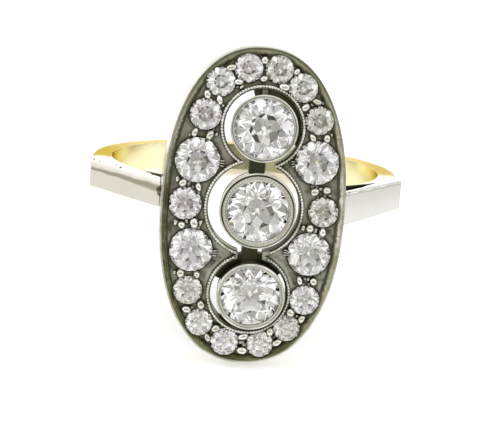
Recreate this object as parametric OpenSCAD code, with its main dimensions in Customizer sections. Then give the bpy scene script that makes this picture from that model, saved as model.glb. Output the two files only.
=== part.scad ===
// Three-stone diamond ring: an oval plaque with three collet-set stones in a
// pierced centre, a halo of eighteen smaller stones round them, white metal
// shoulders and a yellow gold shank.
//
// The ring is drawn about its finger axis: X across the plaque, the plaque on
// the -Y side and the finger axis along Z. It is then tipped onto its side, as
// it lies on a table: on the lower end of the plaque and the back of the band.

/* [Finger and band] */
// Radius of the finger hole
bore_r = 8.65; // [8.4:0.05:8.9]
// Wall of the band, from the finger hole to the outside
band_wall = 1.3; // [1.15:0.05:1.45]
// Width of the band along the finger
band_w = 1.76; // [1.6:0.02:1.8]
// How far the band's middle lies above the plaque's
band_up = 0.19; // [0.1:0.01:0.22]
// Gold wall that runs on inside the shoulders
liner_wall = 0.35; // [0.3:0.05:0.45]
// Half width of the gap in the gold liner behind the plaque
liner_gap_x = 4.8; // [4.4:0.1:5.2]

/* [Shoulders] */
// Distance of the flat shoulder face from the finger axis
shoulder_face_r = 9.81; // [9.7:0.01:9.9]
// Angle between the flat face's normal and the X axis
shoulder_turn = 32.6; // [31:0.1:34]
// Bevel on the left shoulder's upper edge
bevel_left = 0.55; // [0.4:0.05:0.6]
// Bevel on the right shoulder's upper edge
bevel_right = 0.1; // [0.06:0.02:0.3]
// How far the left shoulder reaches down from the plaque's middle
low_left = 0.59; // [0.55:0.02:0.67]
// How far the right shoulder reaches down at the plaque
low_right = 1.02; // [0.8:0.02:1.1]
// Thickness of the left shoulder's face beside the slot inside it
wall_left = 0.8; // [0.7:0.05:0.9]
// Thickness of the right shoulder's face beside the slot inside it
wall_right = 0.35; // [0.3:0.05:0.45]
// Where the left shoulder meets the gold, in front of the ring's middle
joint_left = 0.7; // [0.3:0.1:1.2]
// Where the right shoulder meets the gold, in front of the ring's middle
joint_right = 1.8; // [1:0.1:2.2]
// Radius of the solder pit between the left shoulder and the plaque
pit_r = 0.38; // [0.3:0.02:0.42]

/* [Plaque] */
// Half length of the plaque, along the finger
plaque_a = 10; // [9.8:0.1:10.3]
// Half width of the plaque
plaque_b = 5.74; // [5.7:0.01:5.85]
// How square the oval is: 2 is an ellipse
oval_power = 2.26; // [2.22:0.02:2.4]
// Distance of the plaque's front from the finger axis
plaque_y = 11; // [10.9:0.1:11.3]
// Radius that the plaque is bowed to along its length
curve_r = 55; // [48:1:70]
// Depth of the wall that goes round the plaque
plaque_depth = 2.7; // [2.5:0.1:3]
// Thickness of the plate that the halo is set in
plate_t = 1.2; // [1.1:0.05:1.35]
// Thickness of the wall round the plaque
skirt_t = 0.7; // [0.6:0.05:0.8]
// Width of the rim's flat lip
lip_w = 0.14; // [0.1:0.02:0.2]
// Width of the whole rim, with its bright-cut ledge
rim_w = 0.42; // [0.36:0.02:0.46]
// Depth of the bright-cut ledge under the lip
ledge_depth = 0.14; // [0.1:0.02:0.18]
// Depth of the channel that the halo stones sit in
channel_depth = 0.3; // [0.24:0.02:0.34]

/* [Pierced centre] */
// Width of the raised edge round each opening
edge_w = 0.26; // [0.2:0.02:0.3]
// How far the raised edges lie under the rim
edge_drop = 0.06; // [0.02:0.02:0.12]
// Width of the neck between the top and middle openings
neck_top_w = 1.8; // [1.4:0.1:1.9]
// Width of the neck between the middle and bottom openings
neck_bottom_w = 1.55; // [1.4:0.05:1.9]
// Width of the bars between the collets
bar_w = 1; // [0.8:0.05:1.2]
// How deep the bars lie under the plaque's front
bar_drop = 0.55; // [0.4:0.05:0.7]
// Thickness of the bars and solder webs
bar_t = 0.6; // [0.4:0.05:0.7]
// Width of the fine bar above the top collet
fine_bar_w = 0.35; // [0.3:0.05:0.5]

/* [Collets] */
// Height of the collets over the plaque's front
collet_rise = 0.58; // [0.5:0.02:0.66]
// Depth of the collets under the plaque's front
collet_depth = 1.3; // [1.1:0.05:1.4]
// How much a collet narrows towards the finger
collet_taper = 0.14; // [0.05:0.01:0.16]
// Height of the main stones' girdles over the plaque's front
girdle_rise = 0.3; // [0.24:0.02:0.34]
// Height of the middle collet's outer step
step_rise = 0.34; // [0.2:0.02:0.4]

/* [Stones] */
// Crown height, as a share of a stone's diameter
crown_share = 0.17; // [0.15:0.005:0.18]
// Pavilion depth, as a share of a stone's diameter
pavilion_share = 0.43; // [0.4:0.005:0.44]
// Table width, as a share of a stone's diameter
table_share = 0.5; // [0.46:0.01:0.54]
// Girdle thickness, as a share of a stone's diameter
girdle_share = 0.03; // [0.02:0.005:0.04]
// Culet width, as a share of a stone's diameter
culet_share = 0.07; // [0.05:0.01:0.09]
// Space left round each stone
stone_gap = 0.03; // [0.02:0.01:0.04]

/* [Hidden] */

$fn = 96;
seam = 0.03;            // solder seam between the metals
stone_lift = 0.04;      // keeps the halo stones' lower corners off their seats
tiny = 0.01;
far = 30;               // longer than the ring
facets = 8;             // main facets of a stone's crown
half_facet = 180 / facets;
oval_sides = 96;
profile_steps = 8;

band_r = bore_r + band_wall;
liner_r = bore_r + liner_wall;
shoulder_x = band_r + 0.05;
shoulder_corner = 12;   // degrees in front of the ring's widest point
edge_round = 0.4;       // rounding of the band's outer side
pit_back = 1.85;        // solder pit, behind the plaque's front
pit_up = 0.48;          // and above the plaque's middle
low_end = 0.73;         // how far the right shoulder reaches down at its end
slot_left = -0.6;       // tips of the slots in the shoulders, along the face
slot_right = 1.2;
slot_taper = 2.7;       // from a slot's tip to its full width
channel_h = -channel_depth;

// The openings: x, distance along the plaque, radius
OPEN_X = 0;
OPEN_S = 1;
OPEN_R = 2;
openings = [
    [0.26, 5.10, 2.40],
    [0.06, 0.00, 2.86],
    [0.14, -5.50, 2.37]];

// The collets: x, distance along the plaque, outer radius, stone diameter,
// radius of the lip's mouth, turn of the stone
COL_X = 0;
COL_S = 1;
COL_R = 2;
COL_D = 3;
COL_MOUTH = 4;
COL_SPIN = 5;
collets = [
    [0.30, 5.06, 2.12, 3.90, 1.87, 12],
    [0.29, -0.08, 2.40, 4.00, 1.91, 3],
    [0.26, -5.47, 2.15, 3.86, 1.85, 31]];
collet_lip_w = 0.3;     // width of a stepped collet's raised lip
seat_w = 0.24;          // width of the seat under a main stone
lip_room = 0.08;        // room for a main stone's edge under the lip

// The halo, counter-clockwise from the top: x, distance along the plaque,
// diameter, turn
HALO_X = 0;
HALO_S = 1;
HALO_D = 2;
HALO_SPIN = 3;
halo = [
    [-0.87, 8.74, 1.80, 5],
    [-2.55, 7.77, 1.84, 20],
    [-3.35, 5.70, 2.00, 33],
    [-3.66, 2.80, 2.84, 8],
    [-4.22, 0.02, 2.06, 27],
    [-3.64, -2.92, 2.74, 17],
    [-3.63, -5.54, 1.84, 40],
    [-2.76, -7.61, 1.74, 11],
    [-1.06, -8.80, 1.78, 2],
    [1.15, -8.80, 1.72, 24],
    [2.76, -7.63, 1.70, 36],
    [3.72, -5.70, 1.90, 15],
    [3.74, -2.72, 2.74, 30],
    [4.42, 0.02, 1.90, 6],
    [3.79, 3.11, 2.76, 21],
    [3.75, 5.75, 1.80, 43],
    [2.60, 7.72, 1.84, 14],
    [1.05, 8.78, 1.78, 28]];
halo_girdle_h = channel_h + 0.02;
azure_share = 0.17;     // radius of the hole behind a halo stone, by diameter

// The necks that join the openings: x, distance along the plaque, width
necks = [
    [0.34, 2.77, neck_top_w],
    [0.06, -2.99, neck_bottom_w]];
neck_reach = 1.5;

// The solder webs: collet, from and to in degrees, depth under the front
webs = [
    [0, -25, 108, bar_drop],
    [2, 225, 320, bar_drop],
    [2, 35, 160, bar_drop + 0.1]];

// The bars along the plaque: x, from and to along the plaque, width, depth
// under the front
bars = [
    [0.10, 2.15, 3.15, bar_w, bar_drop],
    [0.05, -3.50, -2.30, bar_w, bar_drop],
    [0.25, 7.00, 7.66, fine_bar_w, bar_drop - 0.3]];

// How the ring lies: on the lower end of the plaque's wall and on the lower
// edge of the band's back
rest_front_y = -(liner_r + seam);
rest_front_z = -plaque_a;
rest_tilt = min([for (p = band_section())
    atan2(p[1] - rest_front_z, p[0] - rest_front_y)]);
rest_drop = -rest_front_y * sin(rest_tilt) + rest_front_z * cos(rest_tilt);
end_sag = plaque_a * plaque_a / (2 * curve_r);
front_y = -(plaque_y - end_sag) * cos(rest_tilt) - plaque_a * sin(rest_tilt);
back_y = max([for (p = band_section())
    p[0] * cos(rest_tilt) + p[1] * sin(rest_tilt)]);
middle_y = (front_y + back_y) / 2;

// Angle along the plaque's bow at the distance s from its middle
function bow(s) = s / curve_r * 180 / PI;

function power_of(v, e) = sign(v) * pow(abs(v), e);

// Points of an oval with the half axes a and b
function oval(a, b) = [for (i = [0:oval_sides - 1])
    let (t = 360 * i / oval_sides, e = 2 / oval_power)
    [b * power_of(cos(t), e), a * power_of(sin(t), e)]];

// Section of the band: flat inside, domed outside
function band_section() = let (half = band_w / 2)
    concat([[bore_r, band_up - half + tiny], [bore_r, band_up + half - tiny]],
        [for (i = [0:profile_steps])
            let (t = 90 - 180 * i / profile_steps)
            [band_r - edge_round + edge_round * pow(cos(t), 0.7),
                band_up + half * power_of(sin(t), 0.6)]]);

module tipped() {
    translate([0, -middle_y, -rest_drop])
        rotate([-rest_tilt, 0, 0])
            children();
}

// Places its children on the plaque's front, looking outwards
module on_face(x, s, h = 0) {
    translate([x, curve_r - plaque_y, 0])
        rotate([90 - bow(s), 0, 0])
            translate([0, 0, curve_r + h])
                children();
}

// Bowed layer of the plaque between the heights low and high
module layer(low, high) {
    translate([0, curve_r - plaque_y, 0])
        rotate([0, 90, 0])
            difference() {
                cylinder(r = curve_r + high, h = far, center = true);
                cylinder(r = curve_r + low, h = far + 1, center = true);
            }
}

module oval_prism(inset) {
    rotate([90, 0, 0])
        linear_extrude(height = plaque_y + 2)
            polygon(oval(plaque_a - inset, plaque_b - inset));
}

module slab(inset, low, high) {
    intersection() {
        oval_prism(inset);
        layer(low, high);
    }
}

// One stone with its girdle's middle at the origin, table upwards
module brilliant(d) {
    r = d / 2;
    crown = crown_share * d;
    pavilion = pavilion_share * d;
    rim = girdle_share * d / 2;
    table = table_share * r;
    culet = culet_share * r;
    star = 0.74 * r;
    lower = 0.5 * r;
    star_h = crown * (r - star * cos(half_facet)) / (r - table);
    lower_h = pavilion * (r - lower * cos(half_facet)) / (r - culet);
    function turn(k, q, h) = [q * cos(k * half_facet), q * sin(k * half_facet), h];
    n = 2 * facets;
    points = concat(
        [for (k = [0:facets - 1]) turn(2 * k, table, rim + crown)],
        [for (k = [0:facets - 1]) turn(2 * k + 1, star, rim + star_h)],
        [for (k = [0:n - 1]) turn(k, r, rim)],
        [for (k = [0:n - 1]) turn(k, r, -rim)],
        [for (k = [0:facets - 1]) turn(2 * k + 1, lower, -rim - lower_h)],
        [for (k = [0:facets - 1]) turn(2 * k, culet, -rim - pavilion)]);
    t0 = 0;
    s0 = facets;
    g0 = 2 * facets;
    b0 = g0 + n;
    l0 = b0 + n;
    c0 = l0 + facets;
    function next(k) = (k + 1) % facets;
    function step(k) = (k + 1) % n;
    faces = concat(
        [[for (k = [facets - 1:-1:0]) t0 + k]],
        [for (k = [0:facets - 1]) [t0 + k, t0 + next(k), s0 + k]],
        [for (k = [0:facets - 1])
            [t0 + next(k), s0 + next(k), g0 + 2 * next(k), s0 + k]],
        [for (k = [0:facets - 1]) [s0 + k, g0 + 2 * k + 1, g0 + 2 * k]],
        [for (k = [0:facets - 1]) [s0 + k, g0 + 2 * next(k), g0 + 2 * k + 1]],
        [for (k = [0:n - 1]) [g0 + k, g0 + step(k), b0 + step(k), b0 + k]],
        [for (k = [0:facets - 1]) [l0 + k, b0 + 2 * k, b0 + 2 * k + 1]],
        [for (k = [0:facets - 1]) [l0 + k, b0 + 2 * k + 1, b0 + 2 * next(k)]],
        [for (k = [0:facets - 1])
            [c0 + next(k), l0 + k, b0 + 2 * next(k), l0 + next(k)]],
        [for (k = [0:facets - 1]) [c0 + k, l0 + k, c0 + next(k)]],
        [[for (k = [0:facets - 1]) c0 + k]]);
    polyhedron(points = points, faces = faces);
}

module halo_stone(i) {
    color("aliceblue")
        tipped()
            on_face(halo[i][HALO_X], halo[i][HALO_S], halo_girdle_h + stone_lift)
                rotate([0, 0, halo[i][HALO_SPIN]])
                    brilliant(halo[i][HALO_D]);
}

module main_stone(i) {
    color("aliceblue")
        tipped()
            on_face(collets[i][COL_X], collets[i][COL_S], girdle_rise)
                rotate([0, 0, collets[i][COL_SPIN]])
                    brilliant(collets[i][COL_D]);
}

// Seat of a halo stone, with the hole that lets light in behind it
module halo_seat(d) {
    r = d / 2 + stone_gap;
    rim = girdle_share * d / 2 + stone_gap;
    hole = azure_share * d;
    point = culet_share * d / 2;
    depth = pavilion_share * d * (r - hole) / (r - point);
    rotate_extrude()
        polygon([[0, -plaque_depth], [hole, -plaque_depth], [hole, -rim - depth],
            [r, -rim], [r, 2], [0, 2]]);
}

// Wall of a collet, with the seat and the lip that hold its stone
module collet_wall(c) {
    r = c[COL_D] / 2 + stone_gap;
    rim = girdle_share * c[COL_D] / 2 + stone_gap;
    seat_h = seat_w * pavilion_share * 2;
    stepped = c[COL_R] - c[COL_MOUTH] > 1.5 * collet_lip_w;
    lip_r = c[COL_MOUTH] + collet_lip_w;
    outside = stepped
        ? [[c[COL_R], step_rise], [lip_r, step_rise], [lip_r, collet_rise]]
        : [[c[COL_R], collet_rise]];
    rotate_extrude()
        polygon(concat(
            [[r - seat_w, -collet_depth], [c[COL_R] - collet_taper, -collet_depth]],
            outside,
            [[c[COL_MOUTH], collet_rise], [c[COL_MOUTH], girdle_rise + rim + lip_room],
                [r, girdle_rise + rim + lip_room], [r, girdle_rise - rim],
                [r - seat_w, girdle_rise - rim - seat_h]]));
}

// Solder web between a collet and the wall of its opening
module web(w) {
    c = collets[w[0]];
    inner = c[COL_R] - collet_taper - 2 * tiny;
    outer = openings[w[0]][OPEN_R] + edge_w / 2;
    on_face(c[COL_X], c[COL_S], -w[3] - bar_t)
        rotate([0, 0, w[1]])
            rotate_extrude(angle = w[2] - w[1])
                translate([inner, 0])
                    square([outer - inner, bar_t]);
}

module bar(b) {
    length = b[2] - b[1];
    on_face(b[0], (b[1] + b[2]) / 2, -b[4] - bar_t)
        translate([-b[3] / 2, -length / 2, 0])
            cube([b[3], length, bar_t]);
}

module opening_holes(grow, low, high) {
    for (o = openings)
        on_face(o[OPEN_X], o[OPEN_S], low)
            cylinder(r = o[OPEN_R] + grow, h = high - low);
}

module neck_holes() {
    for (k = necks)
        on_face(k[0], k[1], -plaque_depth - 1)
            translate([-k[2] / 2, -neck_reach / 2, 0])
                cube([k[2], neck_reach, plaque_depth + 2]);
}

// The plaque's plate and the wall round it, hollow behind and cut to the finger
module plaque_blank() {
    difference() {
        difference() {
            slab(0, -plaque_depth, 0);
            slab(skirt_t, -plaque_depth - 1, -plate_t);
        }
        cylinder(r = liner_r + seam, h = far, center = true);
    }
}

// With the rim's ledge and the channel, which leaves raised edges round the
// openings
module plaque_channelled() {
    difference() {
        difference() {
            plaque_blank();
            slab(lip_w, -ledge_depth, 1);
        }
        difference() {
            slab(rim_w, channel_h, 1);
            opening_holes(edge_w, channel_h - 1, -edge_drop);
        }
    }
}

module plaque_pierced() {
    difference() {
        plaque_channelled();
        opening_holes(0, -plaque_depth - 1, 1);
        neck_holes();
    }
}

// With the seats of the first n halo stones, cut one by one
module plaque_plate(n) {
    if (n == 0)
        plaque_pierced();
    else
        difference() {
            plaque_plate(n - 1);
            on_face(halo[n - 1][HALO_X], halo[n - 1][HALO_S], halo_girdle_h)
                halo_seat(halo[n - 1][HALO_D]);
        }
}

module plaque() {
    color("gainsboro")
        tipped()
            union() {
                plaque_plate(len(halo));
                for (c = collets)
                    on_face(c[COL_X], c[COL_S])
                        collet_wall(c);
                for (w = webs)
                    web(w);
                for (b = bars)
                    bar(b);
            }
}

// Gold band at the back, and the thin liner that goes on inside the shoulders
module shank() {
    color("gold")
        tipped()
            union() {
                difference() {
                    rotate_extrude()
                        polygon(band_section());
                    translate([-far, -joint_left - far, -far / 2])
                        cube([far, far, far]);
                    translate([-tiny, -joint_right - far, -far / 2])
                        cube([far, far, far]);
                }
                difference() {
                    rotate_extrude()
                        translate([bore_r, band_up - band_w / 2 + tiny])
                            square([liner_wall, band_w - 2 * tiny]);
                    translate([-liner_gap_x, -far, -far / 2])
                        cube([2 * liner_gap_x, far, far]);
                }
            }
}

// Section of a shoulder, from the liner out to the face at the distance out,
// with a bevel on its upper outer edge
function shoulder_section(out, bevel) = let (
    low = -2 * band_w,
    high = band_up + band_w / 2,
    inside = liner_r - 1)
    [[inside, low], [out, low], [out, high - bevel], [out - bevel, high],
        [inside, high]];

// The right-hand shoulder; a left one is its mirror image
module shoulder_shape(joint, bevel, low_in, low_out, wall, tip) {
    length = 12;
    overrun = 5;        // past the foot of the flat face
    difference() {
        union() {
            rotate([0, 0, -shoulder_turn])
                rotate([90, 0, 0])
                    translate([0, 0, -overrun])
                        linear_extrude(height = length)
                            polygon(shoulder_section(shoulder_face_r, bevel));
            rotate([0, 0, -shoulder_corner])
                rotate_extrude(angle = 2 * shoulder_turn)
                    polygon(shoulder_section(shoulder_x, bevel));
        }
        // Inside, towards the finger
        cylinder(r = liner_r + seam, h = far, center = true);
        // The ring's widest point
        translate([shoulder_x, -far / 2, -far / 2])
            cube([far, far, far]);
        // Behind the seam with the gold
        translate([-far, -joint - seam, -far / 2])
            cube([2 * far, far, far]);
        // Seam with the plaque's wall
        oval_prism(-seam);
        // The other side of the ring
        translate([-far, -far / 2, -far / 2])
            cube([far, far, far]);
        shoulder_underside(low_in, low_out);
        shoulder_slot(length, shoulder_face_r - wall, tip);
    }
}

// What lies under a shoulder, which reaches down to low_in at the plaque and to
// low_out at its end
module shoulder_underside(low_in, low_out) {
    slope = (low_in - low_out) / (shoulder_x - plaque_b);
    rotate([90, 0, 0])
        linear_extrude(height = far, center = true)
            polygon([[0, -low_in - slope * plaque_b],
                [far, -low_in + slope * (far - plaque_b)], [far, -far], [0, -far]]);
}

// Slot between a shoulder's face and the gold inside it, open to the plaque
module shoulder_slot(length, inner, tip) {
    start = sqrt(pow(liner_r + seam, 2) - tip * tip) - tiny;
    rotate([0, 0, -shoulder_turn])
        translate([0, 0, -far / 2])
            linear_extrude(height = far)
                polygon([[0, tip], [start, tip], [inner, tip - slot_taper],
                    [inner, -length], [0, -length]]);
}

module shoulder_left() {
    color("gainsboro")
        tipped()
            difference() {
                mirror([1, 0, 0])
                    shoulder_shape(joint_left, bevel_left, low_left, low_left,
                        wall_left, slot_left);
                // Solder pit beside the plaque
                translate([-plaque_b - seam, -plaque_y + pit_back, pit_up])
                    sphere(r = pit_r);
            }
}

module shoulder_right() {
    color("gainsboro")
        tipped()
            shoulder_shape(joint_right, bevel_right, low_right, low_end,
                wall_right, slot_right);
}

shank();
shoulder_left();
shoulder_right();
plaque();
main_stone(0);  // stone_top
main_stone(1);  // stone_middle
main_stone(2);  // stone_bottom
halo_stone(0);  // halo_01
halo_stone(1);  // halo_02
halo_stone(2);  // halo_03
halo_stone(3);  // halo_04
halo_stone(4);  // halo_05
halo_stone(5);  // halo_06
halo_stone(6);  // halo_07
halo_stone(7);  // halo_08
halo_stone(8);  // halo_09
halo_stone(9);  // halo_10
halo_stone(10);  // halo_11
halo_stone(11);  // halo_12
halo_stone(12);  // halo_13
halo_stone(13);  // halo_14
halo_stone(14);  // halo_15
halo_stone(15);  // halo_16
halo_stone(16);  // halo_17
halo_stone(17);  // halo_18
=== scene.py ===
import math
import random

import bpy
import bmesh
from mathutils import Matrix, Vector


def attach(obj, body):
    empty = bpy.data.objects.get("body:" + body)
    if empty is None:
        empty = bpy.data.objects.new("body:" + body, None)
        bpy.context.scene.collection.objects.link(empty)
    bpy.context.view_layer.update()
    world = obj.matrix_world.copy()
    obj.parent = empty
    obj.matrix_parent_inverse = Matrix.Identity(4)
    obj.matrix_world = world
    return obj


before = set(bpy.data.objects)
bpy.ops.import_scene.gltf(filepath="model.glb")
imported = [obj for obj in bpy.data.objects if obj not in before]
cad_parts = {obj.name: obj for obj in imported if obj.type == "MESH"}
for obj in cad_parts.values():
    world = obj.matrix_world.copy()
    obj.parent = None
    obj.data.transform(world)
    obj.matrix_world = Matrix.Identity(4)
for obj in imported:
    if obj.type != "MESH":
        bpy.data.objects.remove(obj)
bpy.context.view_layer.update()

# Measures
# Lengths are drawn in mm in the ring's own frame, about the finger axis: X across the
# plaque, the plaque on the -Y side, Z along the finger. TO_ROW takes them to the row
# frame in metres.
MM = 0.001
TILT = math.radians(26.4643)
CENTRE = Vector((0.0, 2.12823, 4.928))
TO_ROW = (Matrix.Translation(CENTRE * MM) @ Matrix.Rotation(-TILT, 4, "X")
          @ Matrix.Scale(MM, 4))

FINGER_R = 8.65               # radius of the finger hole
BAND_HIGH = 1.07              # height of the shoulders' and the band's upper faces
PLAQUE_Y = 11.0               # from the finger axis to the plaque's front
CURVE_R = 55.0                # radius of the plaque's bow
CURVE_Y = CURVE_R - PLAQUE_Y  # the axis of the bow
# The plaque's outline: half its length, half its width and the power of its oval
OVAL_A, OVAL_B, OVAL_N = 10.0, 5.74, 2.26
LIP_W = 0.14                  # width of the rim's lip
RIM_W = 0.42                  # width of the whole rim
CHANNEL_H = -0.30             # the halo's channel, from the plaque's front

# The openings: x, distance along the plaque, radius
OPENINGS = [(0.26, 5.10, 2.40), (0.06, 0.00, 2.86), (0.14, -5.50, 2.37)]
NECK_X, NECK_S = 0.2, 2.9     # the necks between the openings, on both sides of the middle
# The collets: x, distance along the plaque, outer radius, radius of the mouth
COLLETS = [(0.30, 5.06, 2.12, 1.87), (0.29, -0.08, 2.40, 1.91), (0.26, -5.47, 2.15, 1.85)]
COLLET_RISE = 0.58            # height of the collets' mouths over the plaque's front
STEP_RISE = 0.34              # height of the step round the middle collet
# The halo: x, distance along the plaque, diameter
HALO = [(-0.87, 8.74, 1.80), (-2.55, 7.77, 1.84), (-3.35, 5.70, 2.00),
        (-3.66, 2.80, 2.84), (-4.22, 0.02, 2.06), (-3.64, -2.92, 2.74),
        (-3.63, -5.54, 1.84), (-2.76, -7.61, 1.74), (-1.06, -8.80, 1.78),
        (1.15, -8.80, 1.72), (2.76, -7.63, 1.70), (3.72, -5.70, 1.90),
        (3.74, -2.72, 2.74), (4.42, 0.02, 1.90), (3.79, 3.11, 2.76),
        (3.75, 5.75, 1.80), (2.60, 7.72, 1.84), (1.05, 8.78, 1.78)]
SEAT_GAP = 0.015              # between a halo stone and the edge of its seat
PIT = (-5.75, -9.15, 0.48)    # the solder pit in the left shoulder
PIT_R = 0.38
# The wedges of painted shade on the upper faces beside the plaque: the tip's x and y,
# and the slopes of the two sides
SHADE_WEDGES = [(-7.0, -5.0, -0.3, -2.0), (8.35, -4.05, -0.9, -1.75)]

random.seed(7)


def on_face(x, s, h=0.0):
    """Matrix of a place on the plaque's bowed front, its Z looking outwards."""
    bow = s / CURVE_R
    return (Matrix.Translation((x, CURVE_Y, 0))
            @ Matrix.Rotation(math.pi / 2 - bow, 4, "X")
            @ Matrix.Translation((0, 0, CURVE_R + h)))


def face_point(x, s, h=0.0):
    """Point on the plaque's bowed front."""
    return on_face(x, s, h).translation


def power_of(v, e):
    """The power of a number's size, with the number's sign."""
    return math.copysign(abs(v) ** e, v)


def oval_point(t, inset=0.0):
    """Point of the plaque's outline, or inside it by the inset: x and the height z
    along the finger."""
    e = 2 / OVAL_N
    return Vector(((OVAL_B - inset) * power_of(math.cos(t), e),
                   (OVAL_A - inset) * power_of(math.sin(t), e)))


def s_of(z):
    """Distance along the bowed front at a height z."""
    return CURVE_R * math.asin(z / CURVE_R)


# Materials
class Nodes:
    """Builds the node tree of a material or of the world."""

    def __init__(self, tree):
        self.tree = tree
        tree.nodes.clear()

    def feed(self, socket, value):
        """Links a node's output to the socket, or sets a constant value on it."""
        if hasattr(value, "is_output"):
            self.tree.links.new(value, socket)
        else:
            socket.default_value = value

    def add(self, kind, inputs=None, **settings):
        """Adds a node, makes its settings and feeds its inputs."""
        node = self.tree.nodes.new(kind)
        for key, value in settings.items():
            setattr(node, key, value)
        for key, value in (inputs or {}).items():
            self.feed(node.inputs[key], value)
        return node

    def math(self, operation, a, b=0.0, c=0.0):
        node = self.add("ShaderNodeMath", operation=operation)
        for socket, value in zip(node.inputs, (a, b, c)):
            self.feed(socket, value)
        return node.outputs[0]

    def times(self, value, *factors):
        """The product of all the values."""
        for factor in factors:
            value = self.math("MULTIPLY", value, factor)
        return value

    def most(self, value, *others):
        """The largest of all the values."""
        for other in others:
            value = self.math("MAXIMUM", value, other)
        return value

    def smooth(self, value, start, end):
        """Goes smoothly from 0 where the value is start to 1 where it is end."""
        node = self.add("ShaderNodeMapRange",
                        {"Value": value, "From Min": start, "From Max": end},
                        interpolation_type="SMOOTHSTEP")
        return node.outputs["Result"]

    def mix(self, factor, a, b):
        """Goes from the colour a to the colour b."""
        node = self.add("ShaderNodeMix", data_type="RGBA")
        self.feed(node.inputs[0], factor)
        for index, colour in ((6, a), (7, b)):
            linked = hasattr(colour, "is_output")
            self.feed(node.inputs[index], colour if linked else (*colour, 1))
        return node.outputs[2]

    def distance(self, place, centre):
        node = self.add("ShaderNodeVectorMath", {0: place, 1: centre},
                        operation="DISTANCE")
        return node.outputs["Value"]

    def noise(self, place, scale, detail=3.0, roughness=0.5):
        node = self.add("ShaderNodeTexNoise", {"Vector": place, "Scale": scale,
                                               "Detail": detail, "Roughness": roughness})
        return node.outputs["Fac"]

    def surface(self, shader):
        """Makes a shader the material's surface."""
        self.add("ShaderNodeOutputMaterial", {"Surface": shader.outputs[0]})


def new_material(name):
    material = bpy.data.materials.new(name)
    material.use_nodes = True
    return material, Nodes(material.node_tree)


def ring_coordinates(n):
    """Object coordinates turned back into the ring's own frame, in mm."""
    coords = n.add("ShaderNodeTexCoord").outputs["Object"]
    moved = n.add("ShaderNodeVectorMath", {0: coords, 1: tuple(CENTRE * MM)},
                  operation="SUBTRACT").outputs[0]
    turned = n.add("ShaderNodeVectorRotate", {"Vector": moved, "Angle": TILT},
                   rotation_type="X_AXIS").outputs[0]
    return n.add("ShaderNodeVectorMath", {0: turned, "Scale": 1 / MM},
                 operation="SCALE").outputs[0]


def face_height(n, xyz):
    """Height over the plaque's bowed front, in mm."""
    y = n.math("SUBTRACT", xyz["Y"], CURVE_Y)
    squares = n.math("ADD", n.times(y, y), n.times(xyz["Z"], xyz["Z"]))
    return n.math("SUBTRACT", n.math("SQRT", squares), CURVE_R)


def rim_distance(n, xyz):
    """About how far a point lies inside the plaque's outline, in mm."""
    x = n.math("ABSOLUTE", n.math("DIVIDE", xyz["X"], OVAL_B))
    z = n.math("ABSOLUTE", n.math("DIVIDE", xyz["Z"], OVAL_A))
    powers = n.math("ADD", n.math("POWER", x, OVAL_N), n.math("POWER", z, OVAL_N))
    place = n.math("POWER", powers, 1 / OVAL_N)
    slope_x = n.math("DIVIDE", n.math("POWER", x, OVAL_N - 1), OVAL_B)
    slope_z = n.math("DIVIDE", n.math("POWER", z, OVAL_N - 1), OVAL_A)
    squares = n.math("ADD", n.times(slope_x, slope_x), n.times(slope_z, slope_z))
    return n.math("DIVIDE", n.math("SUBTRACT", 1.0, place), n.math("SQRT", squares))


def circle_distance(n, place, circles, height):
    """How far a point lies outside the nearest circle on the plaque, in mm."""
    edges = [n.math("SUBTRACT", n.distance(place, tuple(face_point(x, s, height))), radius)
             for x, s, radius in circles]
    nearest = edges[0]
    for edge in edges[1:]:
        nearest = n.math("MINIMUM", nearest, edge)
    return nearest


def sunken_darkening(n, place, xyz, height, film_amount):
    """A darker film on the sunken parts, in patches, thicker on the plaque's lower half
    and mostly gone round the openings."""
    deep = n.smooth(height, -0.10, -0.26)
    patches = n.smooth(n.noise(place, 1.3, 4.0, 0.6), 0.36, 0.66)
    below = n.smooth(xyz["Z"], 1.5, -3.0)
    film = n.math("MULTIPLY_ADD", patches, film_amount,
                  n.math("MULTIPLY_ADD", below, 0.22, 0.20))
    film = n.math("MINIMUM", n.times(deep, film), 0.9)
    near_openings = n.smooth(circle_distance(n, place, OPENINGS, 0.0), 0.58, 0.34)
    return n.times(film, n.math("MULTIPLY_ADD", near_openings, -0.8, 1.0))


def shade_at_edges(n, place, height, from_rim, fine):
    """Ragged painted shade round the halo stones and along the foot of the rim."""
    stones = [(x, s, diameter / 2) for x, s, diameter in HALO]
    ragged = n.times(n.math("SUBTRACT", fine, 0.5), 0.35)
    beside = n.math("ADD", circle_distance(n, place, stones, CHANNEL_H), ragged)
    beside = n.times(n.smooth(beside, 0.36, 0.06), 0.85)
    foot = n.math("ADD", from_rim, ragged)
    foot = n.times(n.smooth(foot, 0.30, 0.42), n.smooth(foot, 0.80, 0.50), 0.85)
    return n.times(n.most(beside, foot), n.smooth(height, 0.02, -0.12))


def recess_shade_and_film(n, place, xyz, fine, film_amount):
    """How dark the plaque's front is painted: the darker film, and painted shade at the
    ragged edges, in the crevices and in the deepest parts, which are nearly black."""
    height = face_height(n, xyz)
    from_rim = rim_distance(n, xyz)
    # Painted shade in the crevices and, nearly black, in the deepest parts
    closed = n.add("ShaderNodeAmbientOcclusion", {"Distance": 0.6 * MM}, samples=8)
    crevice = n.smooth(closed.outputs["AO"], 0.86, 0.36)
    pit_shade = n.times(n.smooth(height, -0.42, -0.56), 0.93)
    shade_and_film = n.most(sunken_darkening(n, place, xyz, height, film_amount), crevice, pit_shade,
                  shade_at_edges(n, place, height, from_rim, fine))
    inside = n.smooth(from_rim, 0.03, 0.16)
    front = n.smooth(height, -1.6, -1.1)
    return n.math("MINIMUM", n.times(inside, front, shade_and_film), 0.97)


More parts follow.
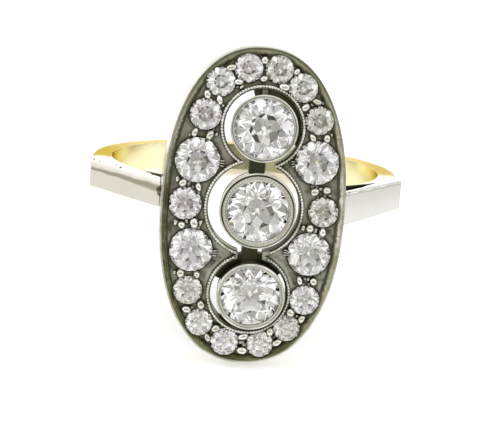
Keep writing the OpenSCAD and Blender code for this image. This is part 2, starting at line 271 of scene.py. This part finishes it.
def worn_normal(n, place, bevel):
    """Rounded edges with dents and fine scratches, which run round the finger."""
    stretched = n.add("ShaderNodeVectorMath", {0: place, 1: (3.0, 3.0, 22.0)},
                      operation="MULTIPLY").outputs[0]
    scratches = n.noise(stretched, 1.4, 2.0, 0.7)
    dents = n.noise(place, 1.1, 2.0, 0.5)
    relief = n.math("ADD", n.times(scratches, 0.4), dents)
    edges = n.add("ShaderNodeBevel", {"Radius": bevel * MM}, samples=4).outputs[0]
    bump = n.add("ShaderNodeBump", {"Strength": 0.25, "Distance": 0.02 * MM,
                                    "Height": relief, "Normal": edges})
    return bump.outputs[0]


def metal(name, light, shade, roughness, recess=None, film_amount=0.0, bevel=0.03,
          paint=None, glance=None):
    """Polished, worn metal with tarnish clouds. The recess colour is that of the painted
    shade and the darker film on the plaque, a paint function tints the metal further by
    place, with painted light and shade, and a glance function sets its colour at glancing
    angles."""
    material, n = new_material(name)
    place = ring_coordinates(n)
    xyz = n.add("ShaderNodeSeparateXYZ", {0: place}).outputs
    clouds = n.noise(place, 0.7, 4.0, 0.6)
    colour = n.mix(n.smooth(clouds, 0.35, 0.7), light, shade)
    fine = n.noise(place, 5.0, 4.0, 0.6)
    colour = n.mix(n.times(n.smooth(fine, 0.5, 0.8), 0.35), colour, shade)
    if paint is not None:
        colour = paint(n, place, xyz, colour)
    rough = n.math("MULTIPLY_ADD", fine, 0.12, roughness - 0.05)
    if recess is not None:
        # Painted shade and a darker film in the plaque's recesses
        shade_and_film = recess_shade_and_film(n, place, xyz, fine, film_amount)
        colour = n.mix(shade_and_film, colour, recess)
        rough = n.math("MULTIPLY_ADD", shade_and_film, 0.3, rough)
    n.surface(n.add("ShaderNodeBsdfPrincipled", {
        "Base Color": colour, "Metallic": 1.0, "Roughness": rough,
        "Specular Tint": glance(n, place, xyz) if glance else (1, 1, 1, 1),
        "Normal": worn_normal(n, place, bevel)}))
    return material


# The painted shade of the wedges, in the colour and in the reflections
WEDGE_SHADE = (0.06, 0.07, 0.02)
WEDGE_GLANCE = (0.10, 0.11, 0.05)


def shade_wedge(n, xyz):
    """The wedge of painted shade between each shoulder and the gold, on their upper faces.
    """
    found = 0.0
    for x, y, upper, lower in SHADE_WEDGES:
        inward = math.copysign(1, -x)
        across = n.times(n.math("SUBTRACT", xyz["X"], x), inward)
        below = n.math("SUBTRACT", n.math("MULTIPLY_ADD", across, upper, y), xyz["Y"])
        above = n.math("SUBTRACT", xyz["Y"], n.math("MULTIPLY_ADD", across, lower, y))
        inside = n.times(n.smooth(below, -0.1, 0.15), n.smooth(above, -0.1, 0.15),
                         n.smooth(across, 0.0, 0.4))
        found = n.most(found, inside)
    return n.times(found, n.smooth(xyz["Z"], 0.7, 1.0))


def wedge_shade_and_pits(n, place, xyz):
    """The wedges of painted shade, and small pits on the shoulders' upper edges."""
    pits = n.smooth(n.noise(place, 3.6, 1.0, 0.4), 0.68, 0.72)
    pits = n.times(pits, n.smooth(xyz["Z"], BAND_HIGH - 0.16, BAND_HIGH - 0.06))
    return n.most(shade_wedge(n, xyz), pits)


def glance_white(n, place, xyz):
    """White, and dark in the wedges of painted shade and in the pits."""
    return n.mix(wedge_shade_and_pits(n, place, xyz), (1.0, 1.0, 1.0), WEDGE_GLANCE)


def passes_shoulders(n, xyz):
    """Where the gold passes the shoulders."""
    return n.smooth(xyz["Y"], 0.2, -1.6)


def paint_gold(n, place, xyz, colour):
    """Painted light: paler gold on the finger side and where the band passes the
    shoulders, richer outside; then the wedges of painted shade."""
    squares = n.math("ADD", n.times(xyz["X"], xyz["X"]), n.times(xyz["Y"], xyz["Y"]))
    inner = n.smooth(n.math("SQRT", squares), FINGER_R + 0.07, FINGER_R + 0.02)
    colour = n.mix(inner, colour, (1.0, 0.95, 0.62))
    colour = n.mix(n.times(passes_shoulders(n, xyz), 0.9), colour, (0.97, 0.95, 0.84))
    return n.mix(n.times(shade_wedge(n, xyz), 0.95), colour, WEDGE_SHADE)


def glance_gold(n, place, xyz):
    """Painted reflections: rich gold on the left, paler on the right, at the back and
    beside the shoulders.
    """
    left = n.smooth(xyz["X"], 3.0, -3.0)
    colour = n.mix(left, (0.74, 0.63, 0.34), (0.68, 0.56, 0.18))
    back = n.times(n.smooth(xyz["Y"], 1.5, 7.0), 0.85)
    colour = n.mix(back, colour, (0.98, 0.93, 0.70))
    colour = n.mix(passes_shoulders(n, xyz), colour, (1.0, 0.985, 0.93))
    return n.mix(shade_wedge(n, xyz), colour, WEDGE_GLANCE)


def paint_edge_light_and_shade(n, place, xyz, colour, left, right):
    """A painted highlight on the shoulders' upper edges and the left bevel, with a line of
    painted shade along the bevel's foot and a fainter one on the right."""
    wave = n.math("SUBTRACT", n.noise(place, 0.8, 2.0, 0.5), 0.5)
    level = n.math("MULTIPLY_ADD", wave, 0.22, xyz["Z"])
    foot = n.math("MULTIPLY_ADD", left, -0.30, BAND_HIGH - 0.16)
    above = n.math("SUBTRACT", level, foot)
    upper = n.most(n.smooth(above, 0.08, 0.42), right)
    bright = n.mix(upper, (0.74, 0.715, 0.60), (0.96, 0.95, 0.91))
    colour = n.mix(n.smooth(above, 0.0, 0.10), colour, bright)
    # The left line is narrow at the shoulder's end and wider towards the plaque
    width = n.add("ShaderNodeMapRange", {"Value": xyz["X"], "From Min": -9.9,
                                         "From Max": -6.0, "To Min": 0.10,
                                         "To Max": 0.26}).outputs["Result"]
    away = n.math("DIVIDE", n.math("ABSOLUTE", n.math("ADD", above, 0.08)), width)
    line = n.math("SUBTRACT", 1.0, n.smooth(away, 0.4, 1.0))
    colour = n.mix(n.times(line, left, 0.85), colour, (0.27, 0.25, 0.17))
    line = n.times(n.smooth(above, -0.12, -0.05), n.smooth(above, 0.06, 0.0))
    return n.mix(n.times(line, right, 0.6), colour, (0.36, 0.35, 0.27))


def paint_shoulder(n, place, xyz, colour):
    """Painted shade on the faces: a darker beige left face and a greyer right one, darker
    upwards; then the upper edges, painted shade in the solder pit and the wedges, and the
    pits."""
    # The left face is painted darker and the right one darker upwards: painted shade
    left = n.smooth(xyz["X"], 1.0, -1.0)
    right = n.math("SUBTRACT", 1.0, left)
    colour = n.mix(n.times(left, 0.75), colour, (0.555, 0.53, 0.45))
    height = n.smooth(xyz["Z"], -0.9, 0.9)
    face = n.mix(height, (0.70, 0.685, 0.66), (0.535, 0.525, 0.48))
    colour = n.mix(n.times(right, 0.85), colour, face)
    colour = paint_edge_light_and_shade(n, place, xyz, colour, left, right)
    # Painted shade in the solder pit
    pit_shade = n.smooth(n.distance(place, PIT), PIT_R + 0.06, PIT_R - 0.04)
    colour = n.mix(n.times(pit_shade, 0.92), colour, (0.10, 0.085, 0.06))
    shade_and_pits = wedge_shade_and_pits(n, place, xyz)
    return n.mix(n.times(shade_and_pits, 0.95), colour, WEDGE_SHADE)


def paint_rim_shade_and_stains(n, place, xyz, colour):
    """The rim's slope in painted light and shade: grey on the upper left, light on the
    upper right and olive below and at both ends; with dark stains on the lower left and
    specks all over."""
    left = n.smooth(xyz["X"], 2.5, -2.5)
    colour = n.mix(left, colour, (0.34, 0.335, 0.26))
    wave = n.noise(place, 0.6, 2.0, 0.5)
    level = n.math("MULTIPLY_ADD", wave, 2.0, xyz["Z"])
    level = n.math("MULTIPLY_ADD", left, -3.5, level)
    low = n.times(n.smooth(level, 0.0, -2.5), 0.85)
    colour = n.mix(low, colour, n.mix(left, (0.30, 0.30, 0.19), (0.15, 0.155, 0.06)))
    stains = n.smooth(n.noise(place, 1.9, 3.0, 0.6), 0.40, 0.54)
    stains = n.times(stains, left, n.smooth(xyz["Z"], 2.6, 0.6), 0.8)
    colour = n.mix(stains, colour, (0.075, 0.068, 0.03))
    ends = n.times(n.smooth(n.math("ABSOLUTE", xyz["Z"]), 4.5, 8.5), 0.75)
    colour = n.mix(ends, colour, (0.15, 0.15, 0.07))
    specks = n.times(n.smooth(n.noise(place, 4.2, 4.0, 0.65), 0.46, 0.62), 0.45)
    return n.mix(specks, colour, (0.13, 0.13, 0.07))


def paint_setting(n, place, xyz, colour):
    """The rim's lip gets painted shade at the plaque's upper end, the collets get a
    painted highlight on their upper parts and the wall behind is even."""
    height = face_height(n, xyz)
    lip = n.times(n.smooth(xyz["Z"], 3.5, 8.5), n.smooth(rim_distance(n, xyz), 0.3, 0.15),
                  n.smooth(height, -0.9, -0.3), 0.85)
    colour = n.mix(lip, colour, (0.16, 0.155, 0.085))
    collet = n.times(n.smooth(height, 0.18, 0.32), 0.75)
    colour = n.mix(collet, colour, (0.92, 0.90, 0.80))
    wall = n.times(n.smooth(height, -0.9, -1.5), 0.65)
    return n.mix(wall, colour, (0.66, 0.645, 0.55))


def diamond(name, tint, cloud, haze=0.01):
    """Cut diamond: clear, with faint clouds inside and a hazy film on its facets."""
    material, n = new_material(name)
    place = ring_coordinates(n)
    clouds = n.noise(place, 0.55, 3.0, 0.55)
    colour = n.mix(n.smooth(clouds, 0.38, 0.66), tint, cloud)
    film = n.noise(place, 4.0, 3.0, 0.6)
    rough = n.math("MULTIPLY_ADD", n.smooth(film, 0.45, 0.8), 0.07, haze)
    n.surface(n.add("ShaderNodeBsdfPrincipled", {
        "Base Color": colour, "Roughness": rough, "IOR": 2.417,
        "Transmission Weight": 1.0}))
    return material


# The olive of the painted shade and of the darker film in the plaque's recesses
OLIVE = (0.040, 0.042, 0.012)
CLEAR = (1.0, 1.0, 1.0)
# One metal in several tones: the rim's slope is painted darker as painted shade, and the
# grains and wires lighter as painted light
setting_metal = metal("setting_metal", (0.78, 0.76, 0.67), (0.47, 0.46, 0.33), 0.2,
                      recess=OLIVE, film_amount=0.56, paint=paint_setting)
white_metal = metal("white_metal", (0.76, 0.745, 0.70), (0.66, 0.64, 0.57), 0.22,
                    bevel=0.05, paint=paint_shoulder, glance=glance_white)
yellow_gold = metal("yellow_gold", (0.80, 0.62, 0.16), (0.68, 0.52, 0.12), 0.16,
                    bevel=0.08, paint=paint_gold, glance=glance_gold)
bright_cut = metal("bright_cut", (0.60, 0.58, 0.49), (0.40, 0.385, 0.28), 0.18,
                   recess=OLIVE, film_amount=0.35, paint=paint_rim_shade_and_stains)
grain_metal = metal("grain_metal", (0.90, 0.88, 0.83), (0.62, 0.60, 0.5), 0.18,
                    recess=OLIVE, film_amount=0.3)
lip_metal = metal("lip_metal", (0.66, 0.64, 0.55), (0.46, 0.44, 0.34), 0.25,
                  recess=OLIVE, paint=paint_setting)
main_stone = diamond("diamond", CLEAR, (0.84, 0.82, 0.80))
bright_stone = diamond("diamond_bright", CLEAR, (0.95, 0.95, 0.94))
clear_stone = diamond("diamond_clear", CLEAR, (0.80, 0.79, 0.77), 0.05)
rosy_stone = diamond("diamond_rosy", (1.0, 0.965, 0.97), (0.82, 0.76, 0.77), 0.06)
grey_stone = diamond("diamond_grey", (0.96, 0.95, 0.91), (0.66, 0.65, 0.56), 0.05)

# Which node of the CAD part gets which material. The halo stones that aren't named here
# are clear.
NODE_MATERIALS = {"shank": yellow_gold, "shoulder_left": white_metal,
                  "shoulder_right": white_metal, "plaque": setting_metal,
                  "stone_top": main_stone, "stone_middle": bright_stone,
                  "stone_bottom": main_stone}
for number in (1, 3, 5, 6):
    NODE_MATERIALS[f"halo_{number:02d}"] = rosy_stone
for number in (7, 8, 10, 11, 14, 16, 17, 18):
    NODE_MATERIALS[f"halo_{number:02d}"] = grey_stone
for node_name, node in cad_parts.items():
    chosen = NODE_MATERIALS.get(node_name, clear_stone)
    for material_slot in node.material_slots:
        material_slot.material = chosen


# Rim, millgrain, wires and grains
def add_piece(name, draw, material, smooth=True):
    """Makes a fixed piece from what a function draws in the ring's own frame."""
    bm = bmesh.new()
    draw(bm)
    bm.transform(TO_ROW)
    bmesh.ops.recalc_face_normals(bm, faces=bm.faces[:])
    mesh = bpy.data.meshes.new(name)
    bm.to_mesh(mesh)
    bm.free()
    for polygon in mesh.polygons:
        polygon.use_smooth = smooth
    mesh.materials.append(material)
    piece = bpy.data.objects.new(name, mesh)
    bpy.context.scene.collection.objects.link(piece)
    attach(piece, "root")


def join_rings(bm, rings):
    """Faces between each ring of corners and the next one, and the last and the first."""
    for i, ring in enumerate(rings):
        after = rings[(i + 1) % len(rings)]
        for j in range(len(ring)):
            k = (j + 1) % len(ring)
            bm.faces.new((ring[j], after[j], after[k], ring[k]))


def seat_reach(p, direction, limit):
    """How far one can go from p in a direction before a halo stone's seat."""
    reach = limit
    for x, s, diameter in HALO:
        centre = Vector((x, CURVE_R * math.sin(s / CURVE_R)))
        r = diameter / 2 + SEAT_GAP
        offset = p - centre
        ahead = offset.dot(direction)
        outside = offset.length_squared - r * r
        root = ahead * ahead - outside
        if root > 0:
            hit = -ahead - math.sqrt(root)
            if 0 <= hit < reach:
                reach = hit
            elif outside < 0:
                reach = 0.0
    return reach


def rim_bevel(bm):
    """The bright-cut slope inside the rim's lip, narrow beside the stones."""
    steps = 720
    nearby = 0.003            # step along the outline that gives its direction
    overlap = 0.02            # with the lip
    narrowest, widest = 0.05, 0.36
    lift = 0.012              # over the plaque's front
    slope = 0.62
    rings = []
    for i in range(steps):
        t = 2 * math.pi * i / steps
        along = oval_point(t + nearby) - oval_point(t - nearby)
        inward = Vector((-along.y, along.x)).normalized()
        start = oval_point(t) + inward * (LIP_W - overlap)
        width = max(narrowest, seat_reach(start, inward, widest))
        inner = start + inward * width
        corners = ((start, lift), (inner, lift - slope * width),
                   (inner, CHANNEL_H), (start, CHANNEL_H))
        rings.append([bm.verts.new(face_point(q.x, s_of(q.y), h)) for q, h in corners])
    join_rings(bm, rings)


def bead(bm, place, radius, flat):
    """One raised bead at the matrix place, flattened to a share of its height."""
    scaled = place @ Matrix.Diagonal((radius, radius, radius * flat, 1))
    bmesh.ops.create_icosphere(bm, subdivisions=1, radius=1.0, matrix=scaled)


def rim_grain(bm):
    """Millgrain on the rim's lip."""
    pitch = 0.16
    inset = 0.075             # from the outline to the beads
    samples = [oval_point(2 * math.pi * i / 4000, inset) for i in range(4001)]
    length = 0.0
    for a, b in zip(samples, samples[1:]):
        length += (b - a).length
        if length >= pitch:
            length -= pitch
            size = 0.066 + random.uniform(-0.01, 0.01)
            bead(bm, on_face(b.x, s_of(b.y), -0.01), size, 0.8)


GRAIN_PITCH = 0.19            # between the beads at the openings and on the collets


def free_edge(index, px, ps):
    """Whether a place on an opening's edge is clear of the other openings and of the
    necks."""
    for j, (x, s, r) in enumerate(OPENINGS):
        if j != index and math.hypot(px - x, ps - s) < r + 0.05:
            return False
    return abs(abs(ps) - NECK_S) >= 0.75 or abs(px - NECK_X) >= 1.0


def opening_grain(bm):
    """Millgrain on the raised edges round the openings."""
    for index, (x, s, r) in enumerate(OPENINGS):
        reach = r + 0.16
        count = round(2 * math.pi * reach / GRAIN_PITCH)
        for i in range(count):
            t = 2 * math.pi * i / count
            px, ps = x + reach * math.cos(t), s + reach * math.sin(t)
            if free_edge(index, px, ps):
                size = 0.13 + random.uniform(-0.016, 0.012)
                bead(bm, on_face(px, ps, -0.06), size, 0.6)


def wire(bm, x, s, reach, height, thick):
    """Round wire in a circle over the plaque."""
    steps, sides = 96, 8
    base = on_face(x, s, height)
    rings = []
    for i in range(steps):
        t = 2 * math.pi * i / steps
        ring = []
        for j in range(sides):
            u = 2 * math.pi * j / sides
            q = reach + thick * math.cos(u)
            ring.append(bm.verts.new(base @ Vector(
                (q * math.cos(t), q * math.sin(t), thick * math.sin(u)))))
        rings.append(ring)
    join_rings(bm, rings)


# The wires on each collet: the outer one's distance from the outside, height and
# thickness, and the thickness of the one at the mouth
WIRES = [(0.065, COLLET_RISE, 0.06, 0.045), (0.09, STEP_RISE, 0.09, 0.04),
         (0.075, COLLET_RISE, 0.075, 0.04)]
MOUTH_WIRE = 0.045            # from the mouth to the middle of its wire


def collet_wires(bm):
    """Bright rolled edges round the outside and the mouth of the collets."""
    for (x, s, outer, mouth), (inset, height, thick, thin) in zip(COLLETS, WIRES):
        wire(bm, x, s, outer - inset, height, thick)
        wire(bm, x, s, mouth + MOUTH_WIRE, COLLET_RISE, thin)


def circle_of_beads(bm, x, s, reach, height, size):
    """Beads in a circle over the plaque."""
    count = round(math.radians(360) * reach / GRAIN_PITCH)
    for i in range(count):
        t = math.radians(360 * i / count)
        bead(bm, on_face(x + reach * math.cos(t), s + reach * math.sin(t), height),
             size + random.uniform(-0.006, 0.006), 0.8)


def collet_grain(bm):
    """Millgrain on the lips of the middle and the bottom collet."""
    for index, beside, height, size in ((1, 0.17, COLLET_RISE, 0.075),
                                        (2, 0.15, COLLET_RISE - 0.01, 0.062)):
        x, s, _, mouth = COLLETS[index]
        circle_of_beads(bm, x, s, mouth + beside, height, size)


def nugget(bm, place, size):
    """An uneven grain, as the graver leaves it."""
    turn = Matrix.Rotation(random.uniform(0, math.tau), 4, "Z")
    shape = Matrix.Diagonal((size * random.uniform(0.9, 1.35),
                             size * random.uniform(0.78, 1.05),
                             size * random.uniform(0.8, 1.05), 1))
    made = bmesh.ops.create_icosphere(bm, subdivisions=2, radius=1.0)
    for vert in made["verts"]:
        vert.co *= random.uniform(0.88, 1.1)
    bmesh.ops.transform(bm, verts=made["verts"], matrix=place @ turn @ shape)


def clearance(p, i, j):
    """How far p is from the edges of the halo stones i and j."""
    return min((p - Vector(HALO[k][:2])).length - HALO[k][2] / 2 for k in (i, j))


def in_channel(p, size):
    """Whether a grain at p is clear of the rim and of the openings' edges."""
    edge = ((abs(p.x) / (OVAL_B - RIM_W - size * 0.5)) ** OVAL_N
            + (abs(p.y) / (OVAL_A - RIM_W - size * 0.5)) ** OVAL_N)
    return edge < 1 and all(math.hypot(p.x - x, p.y - s) > r + 0.26 + size * 0.6
                            for x, s, r in OPENINGS)


def gap_between(i, j):
    """The middle of the gap between the halo stones i and j, and the direction away
    from the plaque's middle."""
    a, b = Vector(HALO[i][:2]), Vector(HALO[j][:2])
    along = (b - a).normalized()
    gap = (b - a).length - (HALO[i][2] + HALO[j][2]) / 2
    middle = a + along * (HALO[i][2] / 2 + gap / 2)
    outward = Vector((-along.y, along.x))
    if outward.dot(middle) < 0:
        outward = -outward
    return middle, outward


def halo_grains(bm):
    """Grains raised between neighbouring halo stones, which hold them: a main one and
    smaller ones beside it in the notch on either side."""
    for i in range(len(HALO)):
        j = (i + 1) % len(HALO)
        middle, outward = gap_between(i, j)
        for side in (1, -1):
            size = random.uniform(0.24, 0.29)
            # Places from the gap's middle outwards, and those where the grain fits
            places = [middle + outward * side * (0.3 + 0.02 * k) for k in range(32)]
            fits = [p for p in places
                    if clearance(p, i, j) > size * 0.55 and in_channel(p, size)]
            if not fits:
                size *= 0.7
                fits = [p for p in places if clearance(p, i, j) > size * 0.5]
                fits = fits or places[:1]
            p = fits[min(len(fits) - 1, random.randint(3, 12))]
            nugget(bm, on_face(p.x, p.y, CHANNEL_H + 0.19), size)
            for _ in range(3):
                turn = random.uniform(0, math.tau)
                small = size * random.uniform(0.4, 0.6)
                q = p + Vector((math.cos(turn), math.sin(turn))) * (size + small * 0.8)
                if clearance(q, i, j) > small * 0.4 and in_channel(q, small):
                    nugget(bm, on_face(q.x, q.y, CHANNEL_H + 0.10), small)


# The claws: place of the larger stone in the halo's list, and the side it is held from
# in degrees
CLAWS = [(3, -4), (5, -3), (14, 186), (12, 178)]


def claws(bm):
    """Three cut ridges beside each larger stone, on the openings' side."""
    for index, angle in CLAWS:
        x, s, diameter = HALO[index]
        reach = diameter / 2 + 0.13
        for k in (-1, 0, 1):
            t = math.radians(angle) + k * 0.1
            place = on_face(x + reach * math.cos(t), s + reach * math.sin(t),
                            CHANNEL_H + 0.17)
            ridge = Matrix.Rotation(t, 4, "Z") @ Matrix.Diagonal(
                (0.19 * random.uniform(0.85, 1.1), 0.052, 0.16, 1))
            bmesh.ops.create_icosphere(bm, subdivisions=2, radius=1.0,
                                       matrix=place @ ridge)


add_piece("rim_bevel", rim_bevel, bright_cut, smooth=False)
add_piece("rim_grain", rim_grain, lip_metal)
add_piece("opening_grain", opening_grain, grain_metal)
add_piece("collet_wires", collet_wires, grain_metal)
add_piece("collet_grain", collet_grain, grain_metal)
add_piece("halo_grains", halo_grains, grain_metal)
add_piece("claws", claws, grain_metal)


# Floor
FLOOR_REACH = 3               # from the middle to each side, in metres


def add_floor():
    """A pale, faintly glowing square under the ring."""
    mesh = bpy.data.meshes.new("floor")
    corners = [(x * FLOOR_REACH, y * FLOOR_REACH, 0)
               for x, y in ((-1, -1), (1, -1), (1, 1), (-1, 1))]
    mesh.from_pydata(corners, [], [(0, 1, 2, 3)])
    floor = bpy.data.objects.new("floor", mesh)
    bpy.context.scene.collection.objects.link(floor)
    material, n = new_material("floor")
    pale = n.noise(n.add("ShaderNodeTexCoord").outputs["Object"], 30.0)
    n.surface(n.add("ShaderNodeBsdfPrincipled", {
        "Base Color": n.mix(pale, (0.80, 0.80, 0.80), (0.82, 0.82, 0.82)),
        "Roughness": 0.9, "Emission Color": (1, 1, 1, 1), "Emission Strength": 0.40}))
    mesh.materials.append(material)


add_floor()

# Light
# The bright and the dark parts of the room: the direction, the cosines where the part
# begins and where it is full, and its strength
BRIGHTS = [((-0.9, -0.35, 0.55), 0.80, 0.95, 1.6), ((0.85, -0.5, 0.6), 0.82, 0.95, 1.4),
           ((0.1, -0.35, 0.95), 0.88, 0.97, 1.45), ((-0.55, 0.8, 0.25), 0.88, 0.97, 1.1)]
DARKS = [((0.05, -0.84, 0.54), 0.93, 0.97, 0.34), ((-0.5, -0.8, 0.2), 0.90, 0.96, 0.36),
         ((0.62, -0.75, 0.15), 0.90, 0.96, 0.33), ((0.2, -0.45, 0.88), 0.965, 0.985, 0.4),
         ((-0.55, -0.45, 0.7), 0.965, 0.985, 0.45)]
BRIGHT_TINT = (1.0, 1.0, 1.0)
DARK_TINT = (1.0, 0.97, 0.86)


def towards(n, direction, aim):
    """Cosine of the angle between a direction and the aim."""
    return n.add("ShaderNodeVectorMath",
                 {0: direction, 1: tuple(Vector(aim).normalized())},
                 operation="DOT_PRODUCT").outputs["Value"]


def add_light():
    """A room lighter upwards, with bright and dark parts, and white to the camera."""
    world = bpy.data.worlds.new("studio")
    bpy.context.scene.world = world
    world.use_nodes = True
    n = Nodes(world.node_tree)
    direction = n.add("ShaderNodeTexCoord").outputs["Generated"]
    light = n.mix(n.smooth(towards(n, direction, (0, 0, 1)), -0.1, 0.9),
                  (0.62, 0.62, 0.61), (1.12, 1.12, 1.12))
    for parts, tint in ((BRIGHTS, BRIGHT_TINT), (DARKS, DARK_TINT)):
        for aim, begins, full, strength in parts:
            light = n.mix(n.smooth(towards(n, direction, aim), begins, full), light,
                          tuple(strength * share for share in tint))
    seen = n.add("ShaderNodeLightPath").outputs["Is Camera Ray"]
    background = n.add("ShaderNodeBackground",
                       {"Color": n.mix(seen, light, (1.0, 1.0, 1.0)), "Strength": 1.0})
    n.add("ShaderNodeOutputWorld", {"Surface": background.outputs[0]})


add_light()

# Camera
DISTANCE = 260.0              # from the ring's centre, in mm
AZIMUTH, ELEVATION, ROLL = (math.radians(v) for v in (3.75, 9.0, 4.5))
WIDTH, HEIGHT = 480, 422      # the picture, in pixels
FOCAL = 4004.0                # in pixels of the picture
RING_AT = (243.5, 180.2)      # the ring's centre in the picture
SENSOR = 36.0                 # the camera's own width, in mm


def camera_turn():
    """The camera's turn in the ring's own frame, and the direction it looks in."""
    forward = Vector((math.sin(AZIMUTH) * math.cos(ELEVATION),
                      math.cos(AZIMUTH) * math.cos(ELEVATION), -math.sin(ELEVATION)))
    right = Vector((math.cos(AZIMUTH), -math.sin(AZIMUTH), 0))
    up = right.cross(forward)
    side = math.cos(ROLL) * right + math.sin(ROLL) * up
    top = -math.sin(ROLL) * right + math.cos(ROLL) * up
    return Matrix((side, top, -forward)).transposed().to_4x4(), forward


def add_camera():
    """A camera that sees the ring as the photograph does."""
    data = bpy.data.cameras.new("camera")
    data.sensor_width = SENSOR
    data.lens = FOCAL * SENSOR / WIDTH
    data.shift_x = -(RING_AT[0] - WIDTH / 2) / WIDTH
    data.shift_y = (RING_AT[1] - HEIGHT / 2) / WIDTH
    data.clip_start = 0.01
    camera = bpy.data.objects.new("camera", data)
    bpy.context.scene.collection.objects.link(camera)
    turn, forward = camera_turn()
    camera.matrix_world = (Matrix.Translation(CENTRE * MM)
                           @ Matrix.Rotation(-TILT, 4, "X")
                           @ Matrix.Translation(-forward * DISTANCE * MM) @ turn)
    bpy.context.scene.camera = camera


add_camera()

view = bpy.context.scene.view_settings
view.view_transform = "Standard"
view.look = "None"
